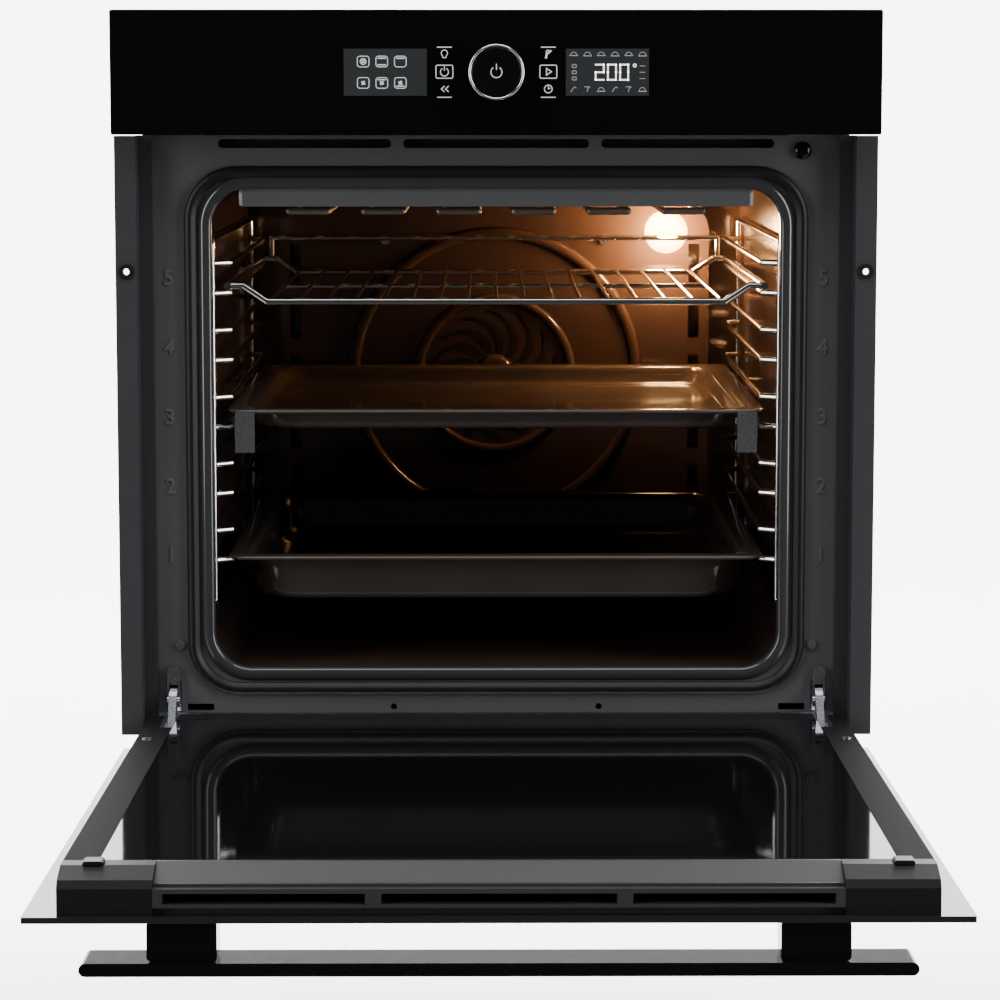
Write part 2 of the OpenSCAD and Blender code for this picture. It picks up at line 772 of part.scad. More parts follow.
module hinge_springs() color("#77797c") opened()
    both_sides() translate([arm_x, -5, 90]) rotate_extrude() {
        square([1.2, 130]);
        for (i = [0:1:58])
            translate([1.4, 2 + i * 2.15]) circle(r = 1.2);
    }

// ---------- what is drawn ----------

base_panel();
side_panels();
top_cover();
back_panel();
front_frame();
side_trims();
trim_bushes();
cavity();
insulation();
gasket();
fan_baffle();
cavity_screws();
ring_element();
convection_motor();
grill_element();
bottom_element();
lamp_holder();
lamp_bulb();
lamp_cover();
temperature_probe();
side_rack_left();
side_rack_right();
runner_rails();
control_glass();
panel_carrier();
displays();
control_board();
encoder();
air_duct();
cooling_motor();
terminal_block();
hinge_receivers();
hinge_arms();
switch_housing();
door_outer_glass();
door_middle_glass();
door_inner_glass();
door_side_profiles();
door_bottom_rail();
door_top_trim();
door_corner_caps();
handle_bar();
handle_posts();
door_screws();
hinge_cases();
hinge_pins();
hinge_springs();
wire_shelf();
baking_tray();
deep_pan();
runner_middles();
runner_inners();
knob();
knob_ring();
encoder_shaft();
switch_plunger();
convection_fan();
cooling_wheel();
lock_lever_left();
lock_lever_right();
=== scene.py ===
# %% [markdown]
# # A built-in wall oven with its door open
# The working parts come from the CAD frame: casing, cavity, door, racks and everything that moves.
# This notebook gives them their finishes, and adds the pieces that carry the looks: the soft gasket,
# the pressed trays with rolled rims, the lit displays, the embossed shelf numbers and the
# marks on the control panel.
# Everything is in metres, in the frame's own axes: +Z up, the front towards -Y.

# %% Load the frame
import json
import math

import bmesh
import bpy
from mathutils import Matrix, Vector


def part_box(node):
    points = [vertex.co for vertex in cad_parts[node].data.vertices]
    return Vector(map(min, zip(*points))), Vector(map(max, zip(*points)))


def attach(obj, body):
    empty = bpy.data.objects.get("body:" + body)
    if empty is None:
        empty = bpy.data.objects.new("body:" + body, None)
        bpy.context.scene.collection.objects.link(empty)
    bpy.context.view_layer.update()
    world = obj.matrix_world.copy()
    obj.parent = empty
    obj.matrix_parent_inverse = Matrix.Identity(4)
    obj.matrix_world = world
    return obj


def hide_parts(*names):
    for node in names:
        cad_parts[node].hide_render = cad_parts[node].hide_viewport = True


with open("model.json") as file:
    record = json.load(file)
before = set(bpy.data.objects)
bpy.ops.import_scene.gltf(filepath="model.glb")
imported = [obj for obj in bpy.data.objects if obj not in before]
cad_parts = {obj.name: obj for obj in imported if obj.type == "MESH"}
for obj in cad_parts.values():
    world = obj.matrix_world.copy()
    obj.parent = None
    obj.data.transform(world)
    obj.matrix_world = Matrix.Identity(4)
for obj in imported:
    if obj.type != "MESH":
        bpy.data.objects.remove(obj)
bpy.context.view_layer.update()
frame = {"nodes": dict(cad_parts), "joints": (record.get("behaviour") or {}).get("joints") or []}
MM = 0.001
nodes = frame["nodes"]

# %% [markdown]
# ## The view
# The camera stands a little over two metres in front of the oven, level with its panel, and
# looks slightly down. A small downward shift keeps the front's uprights nearly parallel,
# as a view camera does. It comes first, because every later choice is judged through it.

# %% Camera
camera_data = bpy.data.cameras.new("camera")
camera_data.lens = 98.3
camera_data.sensor_width = 36
camera_data.shift_y = -0.15
camera_data.clip_end = 50
camera = bpy.data.objects.new("camera", camera_data)
camera.location = (-0.0079, -2.133, 0.539)
camera.rotation_euler = (math.radians(90 - 5.51), 0, math.radians(-0.29))
bpy.context.scene.collection.objects.link(camera)
bpy.context.scene.camera = camera

# %% [markdown]
# ## Floor and light
# Black glass looks like whatever it mirrors, so the stage is built for that: a pale floor and
# backdrop with a painted glow behind the oven and painted shade in front of it, one large soft
# light on each side for the long highlights, one above, and a wash on the wall behind. A
# ready-made environment would be quicker, but its reflections can't be placed. The room in front
# stays dark, because the panel and the door's glass mirror it and should look black.
# The floor lies below the handle, because a built-in oven hangs in its cabinet and its open door
# reaches lower than its base.

# %% Stage
def plain_material(name, colour, roughness, **sockets):
    material = bpy.data.materials.new(name)
    material.use_nodes = True
    shader = material.node_tree.nodes["Principled BSDF"]
    shader.inputs["Base Color"].default_value = (*colour, 1)
    shader.inputs["Roughness"].default_value = roughness
    for socket, value in sockets.items():
        shader.inputs[socket.replace("_", " ")].default_value = value
    return material


def ramp(tree, source, low, high, start, end):
    """Carries a value from its range low..high over to start..end, held at both ends."""
    node = tree.nodes.new("ShaderNodeMapRange")
    for name, value in zip(("From Min", "From Max", "To Min", "To Max"), (low, high, start, end)):
        node.inputs[name].default_value = value
    tree.links.new(source, node.inputs["Value"])
    return node.outputs["Result"]


def sweep_paper():
    """White paper with a painted glow behind the oven, standing in for light from its back, and painted shade
    that darkens its colour towards the front.
    """
    material = plain_material("sweep_paper", (0.93, 0.93, 0.93), 0.9)
    tree = material.node_tree
    place = tree.nodes.new("ShaderNodeTexCoord")
    parts = tree.nodes.new("ShaderNodeSeparateXYZ")
    tree.links.new(place.outputs["Object"], parts.inputs["Vector"])
    shader = tree.nodes["Principled BSDF"]
    grey = tree.nodes.new("ShaderNodeCombineColor")
    # Painted shade: the paper's colour falls from pale behind the oven to near black in front of it.
    shade = ramp(tree, parts.outputs["Y"], -1.0, 0.1, 0.03, 0.93)
    for channel in grey.inputs:
        tree.links.new(shade, channel)
    tree.links.new(grey.outputs["Color"], shader.inputs["Base Color"])
    shader.inputs["Emission Color"].default_value = (1, 1, 1, 1)
    # Painted glow: the paper's emission rises from nothing in front to strong behind the oven, standing in
    # for light from its back.
    tree.links.new(ramp(tree, parts.outputs["Y"], -0.1, 0.6, 0, 4.5), shader.inputs["Emission Strength"])
    return material


def stage_sweep(drop, reach, rise, radius):
    """A floor that curves up into a wall behind the oven, as one sheet."""
    mesh = bpy.data.meshes.new("sweep")
    arc = [(reach - radius + radius * math.sin(a), -drop + radius - radius * math.cos(a))
           for a in [math.radians(6 * i) for i in range(16)]]
    profile = [(-6, -drop)] + arc + [(reach, rise)]
    verts = [(x, y, z) for y, z in profile for x in (-7, 7)]
    faces = [(2 * i, 2 * i + 1, 2 * i + 3, 2 * i + 2) for i in range(len(profile) - 1)]
    mesh.from_pydata(verts, [], faces)
    mesh.shade_smooth()
    obj = bpy.data.objects.new("sweep", mesh)
    mesh.materials.append(sweep_paper())
    bpy.context.scene.collection.objects.link(obj)
    return obj


stage_sweep(drop=0.30, reach=3.2, rise=4.5, radius=1.2)

world = bpy.data.worlds.new("studio")
bpy.context.scene.world = world
world.use_nodes = True
background = world.node_tree.nodes["Background"]
background.inputs["Color"].default_value = (0.95, 0.97, 1, 1)
toward = world.node_tree.nodes.new("ShaderNodeTexCoord")
axes = world.node_tree.nodes.new("ShaderNodeSeparateXYZ")
world.node_tree.links.new(toward.outputs["Generated"], axes.inputs["Vector"])
world.node_tree.links.new(ramp(world.node_tree, axes.outputs["Y"], -0.75, 0.2, 0.03, 0.6),
                          background.inputs["Strength"])


def soft_light(name, place, target, size, power, colour=(1, 1, 1)):
    data = bpy.data.lights.new(name, "AREA")
    data.shape = "RECTANGLE"
    data.size, data.size_y = size
    data.energy = power
    data.color = colour
    light = bpy.data.objects.new(name, data)
    light.location = place
    light.rotation_euler = (Vector(target) - Vector(place)).to_track_quat("-Z", "Y").to_euler()
    bpy.context.scene.collection.objects.link(light)
    return light


middle = (0, 0, 0.3)
soft_light("left_box", (-2.2, -1.4, 0.9), middle, (0.8, 2.2), 34)
soft_light("right_box", (2.3, -1.2, 0.8), middle, (0.9, 2.2), 48)
soft_light("top_box", (0, -0.6, 2.6), middle, (2.4, 1.6), 46)
soft_light("back_wash", (0, 1.6, 2.4), (0, 3.1, 0.6), (3.0, 1.0), 90)

# %% [markdown]
# The oven's own lamp sits behind a glass in the upper right corner at the back. A real filament
# is tiny and hot, so a warm point light of a few millimetres stands in front of its cover; a
# glowing surface alone would need far more samples to light the enamel.

# %% Oven lamp
lamp_low, lamp_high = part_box("lamp_cover")
lamp_x = (lamp_low.x + lamp_high.x) / 2
lamp_z = (lamp_low.z + lamp_high.z) / 2
lamp_data = bpy.data.lights.new("oven_lamp", "POINT")
lamp_data.energy = 4.0
lamp_data.color = (1.0, 0.50, 0.19)
lamp_data.shadow_soft_size = 0.018
oven_lamp = bpy.data.objects.new("oven_lamp", lamp_data)
oven_lamp.location = (lamp_x, lamp_low.y - 0.03, lamp_z)
oven_lamp.visible_camera = False
bpy.context.scene.collection.objects.link(oven_lamp)
print("lamp at", [round(v, 3) for v in oven_lamp.location])

# %% [markdown]
# ## Finishes
# Nearly everything here is enamel, glass, plated steel or moulded plastic, so one builder makes
# them all: a base colour that drifts a little, a roughness that varies with handling, and a fine
# bump at the scale that the real surface has. The patterns read Object coordinates in metres, so
# a scale of 900 means grains of about a millimetre.

# %% Material builder
def finish(name, colour, roughness, grain=900, bump=0.0, drift=0.1, stretch=(1, 1, 1),
           rough_drift=0.08, **sockets):
    material = plain_material(name, colour, roughness, **sockets)
    tree = material.node_tree
    shader = tree.nodes["Principled BSDF"]
    place = tree.nodes.new("ShaderNodeTexCoord")
    mapping = tree.nodes.new("ShaderNodeMapping")
    mapping.inputs["Scale"].default_value = stretch
    tree.links.new(place.outputs["Object"], mapping.inputs["Vector"])

    def noise(scale, detail):
        node = tree.nodes.new("ShaderNodeTexNoise")
        node.inputs["Scale"].default_value = scale
        node.inputs["Detail"].default_value = detail
        tree.links.new(mapping.outputs["Vector"], node.inputs["Vector"])
        return node

    cloud = noise(14, 4)
    fine = noise(grain, 3)
    tint = tree.nodes.new("ShaderNodeMix")
    tint.data_type = "RGBA"
    tint.inputs[6].default_value = (*[c * (1 - drift) for c in colour], 1)
    tint.inputs[7].default_value = (*[min(1, c * (1 + drift)) for c in colour], 1)
    tree.links.new(cloud.outputs["Fac"], tint.inputs["Factor"])
    tree.links.new(tint.outputs[2], shader.inputs["Base Color"])
    rough = tree.nodes.new("ShaderNodeMapRange")
    rough.inputs["To Min"].default_value = max(0.02, roughness - rough_drift)
    rough.inputs["To Max"].default_value = min(1, roughness + rough_drift)
    tree.links.new(fine.outputs["Fac"], rough.inputs["Value"])
    tree.links.new(rough.outputs["Result"], shader.inputs["Roughness"])
    if bump:
        lift = tree.nodes.new("ShaderNodeBump")
        lift.inputs["Strength"].default_value = bump
        lift.inputs["Distance"].default_value = 0.0004
        tree.links.new(fine.outputs["Fac"], lift.inputs["Height"])
        tree.links.new(lift.outputs["Normal"], shader.inputs["Normal"])
    return material


finishes = {
    "zinc_sheet": finish("zinc_sheet", (0.30, 0.308, 0.32), 0.46, grain=60, drift=0.18, Metallic=1.0),
    "frame_enamel": finish("frame_enamel", (0.10, 0.101, 0.105), 0.24, grain=700, bump=0.05, drift=0.08,
                           rough_drift=0.06, Coat_Weight=0.4, Coat_Roughness=0.12),
    "trim_coat": finish("trim_coat", (0.045, 0.046, 0.05), 0.36, grain=2600, bump=0.25),
    "cavity_enamel": finish("cavity_enamel", (0.062, 0.039, 0.031), 0.15, grain=1100, bump=0.12, drift=0.25,
                            rough_drift=0.07, Coat_Weight=0.5, Coat_Roughness=0.1),
    "tray_enamel": finish("tray_enamel", (0.062, 0.049, 0.042), 0.16, grain=900, bump=0.1, drift=0.2,
                          rough_drift=0.05, Coat_Weight=0.6, Coat_Roughness=0.08),
    "matt_plastic": finish("matt_plastic", (0.009, 0.009, 0.01), 0.48, grain=2200, bump=0.25,
                           Specular_IOR_Level=0.3),
    "profile_black": finish("profile_black", (0.008, 0.008, 0.009), 0.7, grain=2200, bump=0.2,
                            Specular_IOR_Level=0.05),
    "trim_plastic": finish("trim_plastic", (0.045, 0.045, 0.047), 0.4, grain=2200, bump=0.3),
    "gloss_plastic": finish("gloss_plastic", (0.005, 0.005, 0.006), 0.12, grain=300, rough_drift=0.03,
                            Specular_IOR_Level=0.2),
    "panel_glass": finish("panel_glass", (0.003, 0.003, 0.0035), 0.06, grain=200, rough_drift=0.02,
                          Specular_IOR_Level=0.3),
    "door_glass": finish("door_glass", (0.004, 0.004, 0.005), 0.05, grain=200, rough_drift=0.02,
                         Specular_IOR_Level=0.35),
    "silver_glass": finish("silver_glass", (0.085, 0.087, 0.09), 0.25, grain=240, rough_drift=0.05,
                           Metallic=0.85),
    # The rim takes a darker copy of the frame enamel: painted shade where the frame turns into the opening.
    "rim_enamel_painted_shade": finish("rim_enamel_painted_shade", (0.04, 0.04, 0.042), 0.16, grain=700, bump=0.04, drift=0.08,
                         Coat_Weight=0.5, Coat_Roughness=0.1),
    # The valance strip takes a light grey copy of the enamel: a painted highlight along the top of the
    # opening.
    "valance_painted_highlight": finish("valance_painted_highlight", (0.5, 0.5, 0.505), 0.3, grain=700, drift=0.1),
    # A slightly lighter copy of the frame enamel for the embossed figures: a painted highlight on their
    # raised faces.
    "frame_mark_painted_highlight": finish("frame_mark_painted_highlight", (0.12, 0.12, 0.125), 0.25, grain=900, Coat_Weight=0.5),
    # Near-black painted shade for the grille slots, which are not cut through the baffle.
    "slot_painted_shade": finish("slot_painted_shade", (0.004, 0.003, 0.003), 0.8, grain=600),
    "wool": finish("wool", (0.72, 0.66, 0.42), 0.95, grain=420, bump=0.9, drift=0.25),
    "silicone": finish("silicone", (0.01, 0.01, 0.011), 0.42, grain=1600, bump=0.2, Specular_IOR_Level=0.3),
    "zinc_plate": finish("zinc_plate", (0.66, 0.68, 0.71), 0.27, grain=1400, bump=0.1, Metallic=1.0),
    "heater_steel": finish("heater_steel", (0.30, 0.26, 0.23), 0.4, grain=500, drift=0.3, Metallic=0.9),
    "motor_steel": finish("motor_steel", (0.42, 0.43, 0.45), 0.38, grain=800, bump=0.15, Metallic=1.0),
    "chrome_wire": finish("chrome_wire", (0.78, 0.76, 0.73), 0.12, grain=600, rough_drift=0.05, Metallic=1.0),
    "bright_ring": finish("bright_ring", (0.82, 0.82, 0.83), 0.15, grain=2400, stretch=(1, 8, 1),
                          rough_drift=0.06, Metallic=1.0),
    "steatite": finish("steatite", (0.82, 0.79, 0.72), 0.55, grain=900, bump=0.2),
    "board_lacquer": finish("board_lacquer", (0.03, 0.19, 0.08), 0.35, grain=500, bump=0.1),
    "grey_moulding": finish("grey_moulding", (0.24, 0.25, 0.26), 0.45, grain=1500, bump=0.25),
    "display_cell": finish("display_cell", (0.05, 0.055, 0.06), 0.2, grain=500),
}


def lamp_glass(name, strength):
    material = finish(name, (1.0, 0.9, 0.7), 0.12, grain=300, Transmission_Weight=0.6, IOR=1.47)
    shader = material.node_tree.nodes["Principled BSDF"]
    shader.inputs["Emission Color"].default_value = (1.0, 0.68, 0.32, 1)
    shader.inputs["Emission Strength"].default_value = strength
    return material


finishes["lamp_glass"] = lamp_glass("lamp_glass", 0.5)
print("finishes:", len(finishes))

# %% [markdown]
# Each CAD node keeps its shape and takes a finish here. One table is easier to read and to check
# than sixty assignments; the script stops if a node is left out.

# %% Dress the CAD nodes
wear = {
    "zinc_sheet": "base_panel side_panels top_cover back_panel",
    "frame_enamel": "front_frame",
    "trim_coat": "side_trims",
    "cavity_enamel": "cavity fan_baffle",
    "tray_enamel": "baking_tray deep_pan",
    # The air duct takes the near-black plastic as painted shade, so the slots in front of it read dark.
    "matt_plastic": "trim_bushes panel_carrier door_corner_caps switch_housing "
                    "door_bottom_rail air_duct",
    "profile_black": "door_side_profiles",
    "trim_plastic": "door_top_trim",
    "gloss_plastic": "knob handle_bar handle_posts switch_plunger",
    "panel_glass": "control_glass",
    "silver_glass": "door_outer_glass",
    "door_glass": "door_middle_glass door_inner_glass",
    "wool": "insulation",
    "silicone": "gasket",
    "zinc_plate": "hinge_receivers hinge_arms hinge_cases hinge_pins hinge_springs cavity_screws "
                  "door_screws runner_rails runner_middles runner_inners lock_lever_left "
                  "lock_lever_right encoder_shaft temperature_probe",
    "heater_steel": "ring_element grill_element bottom_element",
    "motor_steel": "convection_motor cooling_motor convection_fan",
    "chrome_wire": "side_rack_left side_rack_right wire_shelf",
    "bright_ring": "knob_ring",
    "steatite": "lamp_holder",
    "lamp_glass": "lamp_bulb lamp_cover",
    "display_cell": "displays",
    "board_lacquer": "control_board",
    "grey_moulding": "encoder cooling_wheel terminal_block",
}
dressed = set()
for finish_name, names in wear.items():
    for node_name in names.split():
        mesh = nodes[node_name].data
        mesh.materials.clear()
        mesh.materials.append(finishes[finish_name])
        dressed.add(node_name)
assert dressed == set(nodes), dressed ^ set(nodes)

# %% [markdown]
# The outer glass is printed silver on its inside and black on its face. The door is open in the
# frame, so its face looks down: those polygons take the black glass.

# %% Face of the outer glass
outer_glass = nodes["door_outer_glass"].data
outer_glass.materials.append(finishes["door_glass"])
for polygon in outer_glass.polygons:
    polygon.material_index = 1 if polygon.normal.z < -0.9 else 0

# %% [markdown]
# ## Helpers for new pieces
# A finished piece keeps its object at the origin and its place in its mesh. These helpers make a
# mesh object from vertices and faces, close it, and hand it to the body that carries it.

# %% Piece helpers
def add_piece(name, mesh, finish_name, body, smooth=True):
    obj = bpy.data.objects.new(name, mesh)
    bpy.context.scene.collection.objects.link(obj)
    if not mesh.materials:
        mesh.materials.append(finishes[finish_name])
    if smooth:
        mesh.shade_smooth()
    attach(obj, body)
    return obj


def mesh_from(name, verts, faces):
    mesh = bpy.data.meshes.new(name)
    mesh.from_pydata(verts, [], faces)
    shape = bmesh.new()
    shape.from_mesh(mesh)
    bmesh.ops.remove_doubles(shape, verts=shape.verts, dist=1e-6)
    bmesh.ops.recalc_face_normals(shape, faces=shape.faces)
    shape.to_mesh(mesh)
    shape.free()
    return mesh


def bake_modifiers(obj):
    """Replaces the object's mesh by what its modifiers make of it."""
    depsgraph = bpy.context.evaluated_depsgraph_get()
    mesh = bpy.data.meshes.new_from_object(obj.evaluated_get(depsgraph))
    obj.modifiers.clear()
    obj.data = mesh
    return obj


def rounded_ring(half_w, half_h, radius, steps=10):
    """Points round a rectangle with round corners, counter-clockwise, in its own plane."""
    points = []
    for corner, (sx, sy) in enumerate([(1, 1), (-1, 1), (-1, -1), (1, -1)]):
        for i in range(steps + 1):
            a = math.radians(90 * corner + 90 * i / steps)
            points.append((sx * (half_w - radius) + radius * math.cos(a),
                           sy * (half_h - radius) + radius * math.sin(a)))
    return points


def skin_rings(rings, close_start=False, close_end=False):
    """Joins rings of equally many points into one skin."""
    count = len(rings[0])
    verts = [p for ring in rings for p in ring]
    faces = []
    for r in range(len(rings) - 1):
        for i in range(count):
            j = (i + 1) % count
            faces.append((r * count + i, r * count + j, (r + 1) * count + j, (r + 1) * count + i))
    if close_start:
        faces.append(tuple(reversed(range(count))))
    if close_end:
        faces.append(tuple(range((len(rings) - 1) * count, len(rings) * count)))
    return verts, faces


# %% [markdown]
# ## The gasket
# The real seal is a silicone tube with a soft lip, bent round the opening and hooked at its
# corners. It is swept here as a round section round a rounded rectangle, with a thin lip facing
# the door. A bevelled curve would do too, but a skinned mesh lets the section change at the lip.

# %% Gasket
gasket_low, gasket_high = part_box("gasket")


def make_gasket():
    cx = (gasket_low.x + gasket_high.x) / 2
    cz = (gasket_low.z + gasket_high.z) / 2
    half_w = (gasket_high.x - gasket_low.x) / 2
    half_h = (gasket_high.z - gasket_low.z) / 2
    width = 10 * MM
    back = gasket_high.y
    front = gasket_low.y
    # offset inwards from the outer edge, and how far in front of the frame face, as shares
    section = [(0.06, 0.0), (0.0, 0.35), (0.08, 0.7), (0.3, 0.95), (0.5, 1.0), (0.66, 0.9),
               (0.8, 0.62), (0.92, 0.5), (1.0, 0.34), (0.94, 0.0)]
    rings = []
    for inset, rise in section:
        off = inset * width
        y = back + (front - back) * rise
        rings.append([(cx + px, y, cz + pz)
                      for px, pz in rounded_ring(half_w - off, half_h - off, 42 * MM - off, 14)])
    rings.append(rings[0])
    verts, faces = skin_rings(rings)
    return add_piece("gasket_tube", mesh_from("gasket_tube", verts, faces), "silicone", "root")


gasket_tube = make_gasket()
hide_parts("gasket")

# %% [markdown]
# ## Trays
# The baking tray and the deep pan are pressed from sheet steel: a well with soft corners, a step
# to the rim, and an outer edge rolled down over a wire. Rings of points from the inside of the
# well to the rolled edge make the top skin; Solidify gives the sheet its thickness.

# %% Pressed trays
SHEET_MM = 0.9


def make_tray(name, node, body, corner):
    low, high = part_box(node)
    cx = (low.x + high.x) / 2
    cy = (low.y + high.y) / 2
    half_w = (high.x - low.x) / 2
    half_d = (high.y - low.y) / 2
    top = high.z
    # inset from the outer edge, height below the rim, corner radius, all in millimetres
    depth = (high.z - low.z) / MM - SHEET_MM
    steps = [(1.6, -3.4, 13), (0.5, -2.6, 14), (0.4, -1.2, 14), (1.6, -0.2, 13), (4, 0, 12),
             (15, -0.1, 12), (17.5, -0.9, 14), (19, -2.6, 18), (20, -0.35 * depth, corner),
             (21.5, -0.8 * depth, corner + 2), (24, -0.94 * depth, corner + 4),
             (30, -depth, corner + 4), (70, -depth, 30), (110, -depth, 30)]
    rings = []
    for inset, drop, radius in steps:
        ring = rounded_ring(half_w - inset * MM, half_d - inset * MM, radius * MM)
        rings.append([(cx + px, cy + py, top + drop * MM) for px, py in ring])
    verts, faces = skin_rings(rings, close_end=True)
    obj = add_piece(name, mesh_from(name, verts, faces), "tray_enamel", body)
    wall = obj.modifiers.new("sheet", "SOLIDIFY")
    wall.thickness = SHEET_MM * MM
    wall.offset = -1
    bake_modifiers(obj)
    obj.data.shade_smooth()
    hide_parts(node)
    return obj


baking_tray = make_tray("pressed_baking_tray", "baking_tray", "tray", 24)
deep_pan = make_tray("pressed_deep_pan", "deep_pan", "pan", 26)
print("tray faces:", len(baking_tray.data.polygons), len(deep_pan.data.polygons))

# %% [markdown]
# ## What repeats, by Geometry Nodes
# Screws and grille slots are one small shape set down many times. A mesh that
# holds only the places carries a Geometry Nodes modifier: it sets an instance on every point, turns
# and grows it by named inputs, makes the instances real and gives them a material. The result is
# then baked to a plain mesh, because the export drops instances.

# %% Instancing tree
def repeat_tree():
    tree = bpy.data.node_groups.new("repeat_on_points", "GeometryNodeTree")
    face = tree.interface
    face.new_socket("Geometry", in_out="INPUT", socket_type="NodeSocketGeometry")
    face.new_socket("Shape", in_out="INPUT", socket_type="NodeSocketObject")
    face.new_socket("Turn", in_out="INPUT", socket_type="NodeSocketVector")
    face.new_socket("Turn Step", in_out="INPUT", socket_type="NodeSocketVector")
    face.new_socket("Size", in_out="INPUT", socket_type="NodeSocketFloat")
    face.new_socket("Material", in_out="INPUT", socket_type="NodeSocketMaterial")
    face.new_socket("Geometry", in_out="OUTPUT", socket_type="NodeSocketGeometry")
    add = tree.nodes.new
    start = add("NodeGroupInput")
    end = add("NodeGroupOutput")
    shape = add("GeometryNodeObjectInfo")
    place = add("GeometryNodeInstanceOnPoints")
    index = add("GeometryNodeInputIndex")
    step = add("ShaderNodeVectorMath")
    step.operation = "SCALE"
    turn = add("ShaderNodeVectorMath")
    turn.operation = "ADD"
    real = add("GeometryNodeRealizeInstances")
    paint = add("GeometryNodeSetMaterial")
    join = tree.links.new
    join(start.outputs["Geometry"], place.inputs["Points"])
    join(start.outputs["Shape"], shape.inputs["Object"])
    join(shape.outputs["Geometry"], place.inputs["Instance"])
    join(start.outputs["Turn Step"], step.inputs[0])
    join(index.outputs["Index"], step.inputs["Scale"])
    join(start.outputs["Turn"], turn.inputs[0])
    join(step.outputs["Vector"], turn.inputs[1])
    join(turn.outputs["Vector"], place.inputs["Rotation"])
    join(start.outputs["Size"], place.inputs["Scale"])
    join(place.outputs["Instances"], real.inputs["Geometry"])
    join(real.outputs["Geometry"], paint.inputs["Geometry"])
    join(start.outputs["Material"], paint.inputs["Material"])
    join(paint.outputs["Geometry"], end.inputs["Geometry"])
    return tree


REPEAT = repeat_tree()


def repeat(name, shape, places, finish_name, body, turn=(0, 0, 0), turn_step=(0, 0, 0), smooth=False):
    """Sets the shape on every place, as one plain mesh that rides on a body."""
    mesh = bpy.data.meshes.new(name)
    mesh.from_pydata(places, [], [])
    obj = bpy.data.objects.new(name, mesh)
    bpy.context.scene.collection.objects.link(obj)
    modifier = obj.modifiers.new("repeat", "NODES")
    modifier.node_group = REPEAT
    values = {"Shape": shape, "Turn": Vector(turn), "Turn Step": Vector(turn_step), "Size": 1.0,
              "Material": finishes[finish_name]}
    for item in REPEAT.interface.items_tree:
        if item.in_out == "INPUT" and item.name in values:
            modifier[item.identifier] = values[item.name]
    bake_modifiers(obj)
    if smooth:
        obj.data.shade_smooth()
    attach(obj, body)
    print(name, "on", len(places), "places:", len(obj.data.polygons), "faces")
    return obj


def pattern_shape(name, verts, faces, bevel=0.0):
    """A small shape that is only a pattern: it is hidden by being left out of the scene."""
    mesh = mesh_from(name, verts, faces)
    if bevel:
        shape = bmesh.new()
        shape.from_mesh(mesh)
        bmesh.ops.bevel(shape, geom=shape.edges, offset=bevel, segments=2, affect="EDGES")
        shape.to_mesh(mesh)
        shape.free()
    return bpy.data.objects.new(name, mesh)


def box_shape(size, centre=(0, 0, 0)):
    verts = [tuple(c + s * h / 2 for c, s, h in zip(centre, signs, size))
             for signs in [(-1, -1, -1), (1, -1, -1), (1, 1, -1), (-1, 1, -1),
                           (-1, -1, 1), (1, -1, 1), (1, 1, 1), (-1, 1, 1)]]
    faces = [(0, 3, 2, 1), (4, 5, 6, 7), (0, 1, 5, 4), (1, 2, 6, 5), (2, 3, 7, 6), (3, 0, 4, 7)]
    return verts, faces


# %% [markdown]
# ## Casing screws
# Sheet-metal screws with a domed washer head hold the casing together along the back edges of the
# sides and round the back panel. The head is a short stack of rings with a round dent made
# by pulling the middle in, which reads as a driver recess at this size.

# %% Screws
def screw_head(name, radius, height, sides=12):
    rings = [[(radius * k * math.cos(2 * math.pi * i / sides), -height * h,
               radius * k * math.sin(2 * math.pi * i / sides)) for i in range(sides)]
             for k, h in [(1, 0), (1, 0.25), (0.78, 0.75), (0.42, 1.0), (0.34, 0.45)]]
    return pattern_shape(name, *skin_rings(rings, close_start=True, close_end=True))


case_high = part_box("back_panel")[1]
side_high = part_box("side_panels")[1]
head = screw_head("washer_head", 4.2 * MM, 2.2 * MM)
back_y = case_high.y
back_places = [(x, back_y, z) for x in (-0.262, -0.09, 0.09, 0.262) for z in (0.014, 0.576)]
back_places += [(x, back_y, z) for x in (-0.268, 0.268) for z in (0.15, 0.30, 0.45)]
repeat("back_screws", head, back_places, "zinc_plate", "root", turn=(0, 0, math.pi), smooth=True)
for side, name in ((-1, "left"), (1, "right")):
    places = [(side * side_high.x, y, z) for y in (0.05, 0.28, 0.515) for z in (0.018, 0.572)]
    repeat(f"side_screws_{name}", head, places, "zinc_plate", "root", turn=(0, 0, side * math.pi / 2),
           smooth=True)

# %% [markdown]
# Pressed swages stiffen the big side and back sheets. Each is a low flat-topped pad, so it is a
# box with generous bevels laid on the sheet.

# %% Swages
def swage(name, low, high, finish_name="zinc_sheet"):
    size = [b - a for a, b in zip(low, high)]
    centre = [(a + b) / 2 for a, b in zip(low, high)]
    thin = min(size)
    pad = pattern_shape(name, *box_shape(size, centre), bevel=thin * 0.45)
    return add_piece(name, pad.data, finish_name, "root", smooth=False)


for side, name in ((-1, "left"), (1, "right")):
    for row, (z0, z1) in enumerate([(0.06, 0.25), (0.29, 0.48)]):
        x0, x1 = sorted((side * side_high.x, side * (side_high.x + 0.0015)))
        swage(f"side_swage_{name}_{row}", (x0, 0.09, z0), (x1, 0.47, z1))
swage("back_swage", (-0.2, back_y, 0.12), (0.2, back_y + 0.0015, 0.42))
swage("top_swage", (-0.22, 0.07, case_high.z), (0.22, 0.38, case_high.z + 0.0012))

# %% [markdown]
# ## The fan baffle
# The sheet in front of the fan is pressed with a shallow round dish, and its air grille is a
# pinwheel of curved slots. The slots are not cut: thin near-black curved inlays lie on the sheet as
# painted shade for the dark behind them, each an arc that widens outwards, made once and turned
# round the centre by Geometry Nodes.

# %% Pinwheel grille
fan_low, fan_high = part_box("convection_fan")
fan_centre = ((fan_low.x + fan_high.x) / 2, (fan_low.z + fan_high.z) / 2)
baffle_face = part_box("fan_baffle")[0].y
print("fan centre", [round(v, 4) for v in fan_centre])


